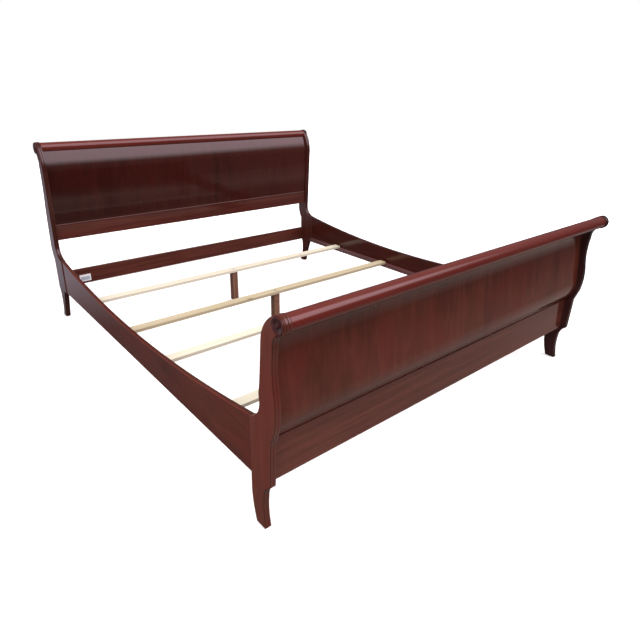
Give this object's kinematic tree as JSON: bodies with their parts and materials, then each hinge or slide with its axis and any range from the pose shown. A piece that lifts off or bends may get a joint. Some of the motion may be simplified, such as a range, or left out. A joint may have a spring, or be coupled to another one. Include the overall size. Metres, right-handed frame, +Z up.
{
  "type": "sleigh bed",
  "caption": "Sleigh bed frame with scrolled head and foot boards, hollow-topped side rails on hooks, and loose slats with centre support legs.",
  "frame": {"origin": "on the floor, under the middle of the bed", "axes": "+Z up, +Y towards the headboard, +X to the right seen from the foot of the bed"},
  "size_m": [1.95, 2.382, 1.054],
  "materials": {
    "cherry": "satin lacquered solid wood, red-brown",
    "cherry_veneer": "satin lacquered veneer with upright grain, red-brown",
    "stained_leg": "thin red-brown stain",
    "pine": "bare planed softwood",
    "dowel": "bare hardwood dowel",
    "zinc_steel": "zinc plated",
    "nylon": "dark moulded nylon",
    "paper": null
  },
  "bodies": {
    "end_boards": {"foot_post_left": "cherry", "foot_post_right": "cherry", "foot_rosette_left": "cherry", "foot_rosette_right": "cherry", "foot_rosette_buttons": "cherry", "foot_crest_rail": "cherry", "foot_groove_strip": "cherry", "foot_bottom_rail": "cherry", "head_post_left": "cherry", "head_post_right": "cherry", "head_rosette_left": "cherry", "head_rosette_right": "cherry", "head_rosette_buttons": "cherry", "head_crest_rail": "cherry", "head_bead_moulding": "cherry", "head_panel_rail": "cherry", "head_stretcher": "cherry", "foot_panel": "cherry_veneer", "head_panel": "cherry_veneer", "foot_dowels": "dowel", "head_dowels": "dowel", "paper_label": "paper", "post_slot_plates": "zinc_steel", "post_plate_screws": "zinc_steel", "post_glides": "nylon"},
    "rail_left": {"side_rail_left": "cherry", "slat_cleat_left": "cherry", "cleat_screws_left": "zinc_steel", "hook_plates_left": "zinc_steel", "hook_plate_screws_left": "zinc_steel"},
    "rail_right": {"side_rail_right": "cherry", "slat_cleat_right": "cherry", "cleat_screws_right": "zinc_steel", "hook_plates_right": "zinc_steel", "hook_plate_screws_right": "zinc_steel"},
    "slat_1_unit": {"slat_1": "pine", "support_leg_1": "stained_leg", "leg_bolt_1": "zinc_steel", "leg_inserts_1": "zinc_steel"},
    "leveller_1": {"leveller_pad_1": "nylon", "leveller_stem_1": "zinc_steel"},
    "slat_2_unit": {"slat_2": "pine", "support_leg_2": "stained_leg", "leg_bolt_2": "zinc_steel", "leg_inserts_2": "zinc_steel"},
    "leveller_2": {"leveller_pad_2": "nylon", "leveller_stem_2": "zinc_steel"},
    "slat_3_unit": {"slat_3": "pine", "support_leg_3": "stained_leg", "leg_bolt_3": "zinc_steel", "leg_inserts_3": "zinc_steel"},
    "leveller_3": {"leveller_pad_3": "nylon", "leveller_stem_3": "zinc_steel"},
    "slat_4_unit": {"slat_4": "pine", "support_leg_4": "stained_leg", "leg_bolt_4": "zinc_steel", "leg_inserts_4": "zinc_steel"},
    "leveller_4": {"leveller_pad_4": "nylon", "leveller_stem_4": "zinc_steel"}
  },
  "joints": [
    {"name": "rail_left_lift", "type": "slide", "parent": "end_boards", "child": "rail_left", "axis": [0, 0, 1], "range_m": [0, 0.014]},
    {"name": "rail_right_lift", "type": "slide", "parent": "end_boards", "child": "rail_right", "axis": [0, 0, 1], "range_m": [0, 0.014]},
    {"name": "slat_1_lift", "type": "slide", "parent": "rail_left", "child": "slat_1_unit", "axis": [0, 0, 1], "range_m": [0, 0.3]},
    {"name": "leveller_1_screw", "type": "slide", "parent": "slat_1_unit", "child": "leveller_1", "axis": [0, 0, 1], "range_m": [0, 0.01]},
    {"name": "slat_2_lift", "type": "slide", "parent": "rail_left", "child": "slat_2_unit", "axis": [0, 0, 1], "range_m": [0, 0.3]},
    {"name": "leveller_2_screw", "type": "slide", "parent": "slat_2_unit", "child": "leveller_2", "axis": [0, 0, 1], "range_m": [0, 0.01]},
    {"name": "slat_3_lift", "type": "slide", "parent": "rail_left", "child": "slat_3_unit", "axis": [0, 0, 1], "range_m": [0, 0.3]},
    {"name": "leveller_3_screw", "type": "slide", "parent": "slat_3_unit", "child": "leveller_3", "axis": [0, 0, 1], "range_m": [0, 0.01]},
    {"name": "slat_4_lift", "type": "slide", "parent": "rail_left", "child": "slat_4_unit", "axis": [0, 0, 1], "range_m": [0, 0.3]},
    {"name": "leveller_4_screw", "type": "slide", "parent": "slat_4_unit", "child": "leveller_4", "axis": [0, 0, 1], "range_m": [0, 0.01]}
  ],
  "couplings": [
    {"joint": "rail_right_lift", "follows": "rail_left_lift", "ratio": 1}
  ]
}
